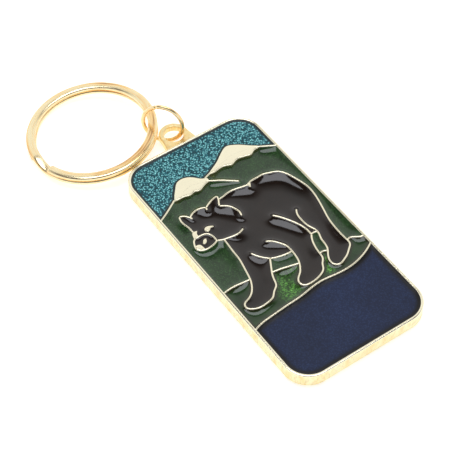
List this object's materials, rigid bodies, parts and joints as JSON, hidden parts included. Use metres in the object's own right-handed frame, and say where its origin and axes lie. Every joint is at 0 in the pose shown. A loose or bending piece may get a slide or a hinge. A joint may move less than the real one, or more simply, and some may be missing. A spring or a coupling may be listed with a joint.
{
  "type": "keychain",
  "caption": "Rounded rectangular enamelled plate with a cast lug, hung by a small jump ring from a two-turn split key ring.",
  "frame": {"origin": "centre of the plate's flat back, on the surface that the plate lies on", "axes": "+Z out of the enamelled face, +Y along the plate towards the lug and the rings, +X to the right of the picture"},
  "size_m": [0.0437, 0.0909, 0.0095],
  "materials": {
    "plate_plating": "bright pale gold plating on a die casting",
    "ring_plating": "polished pale gold plating on wire",
    "sky_enamel": "teal glitter enamel under a clear gloss",
    "hill_enamel": "dark green gloss enamel",
    "meadow_enamel": "green sparkle enamel under a clear gloss",
    "bear_enamel": "black gloss enamel",
    "lake_enamel": "navy gloss enamel with a faint fine flake"
  },
  "bodies": {
    "plate": {"cast_plate": "plate_plating", "sky_enamel": "sky_enamel", "hill_enamel": "hill_enamel", "belly_gap_enamel": "hill_enamel", "hind_gap_enamel": "hill_enamel", "meadow_enamel": "meadow_enamel", "bear_enamel": "bear_enamel", "muzzle_enamel": "bear_enamel", "lake_enamel": "lake_enamel"},
    "jump_ring": {"jump_ring": "ring_plating"},
    "split_ring": {"split_ring": "ring_plating"}
  },
  "joints": [
    {"name": "jump_ring_swivel", "type": "hinge", "parent": "plate", "child": "jump_ring", "pos_m": [0, 0.0349, 0.00195], "axis": [0, 0, 1], "range_deg": [-105, 0]},
    {"name": "split_ring_lift", "type": "hinge", "parent": "jump_ring", "child": "split_ring", "pos_m": [-0.00266, 0.03854, 0.0037], "axis": [0.5278, 0.8494, 0], "range_deg": [0, 120]}
  ]
}
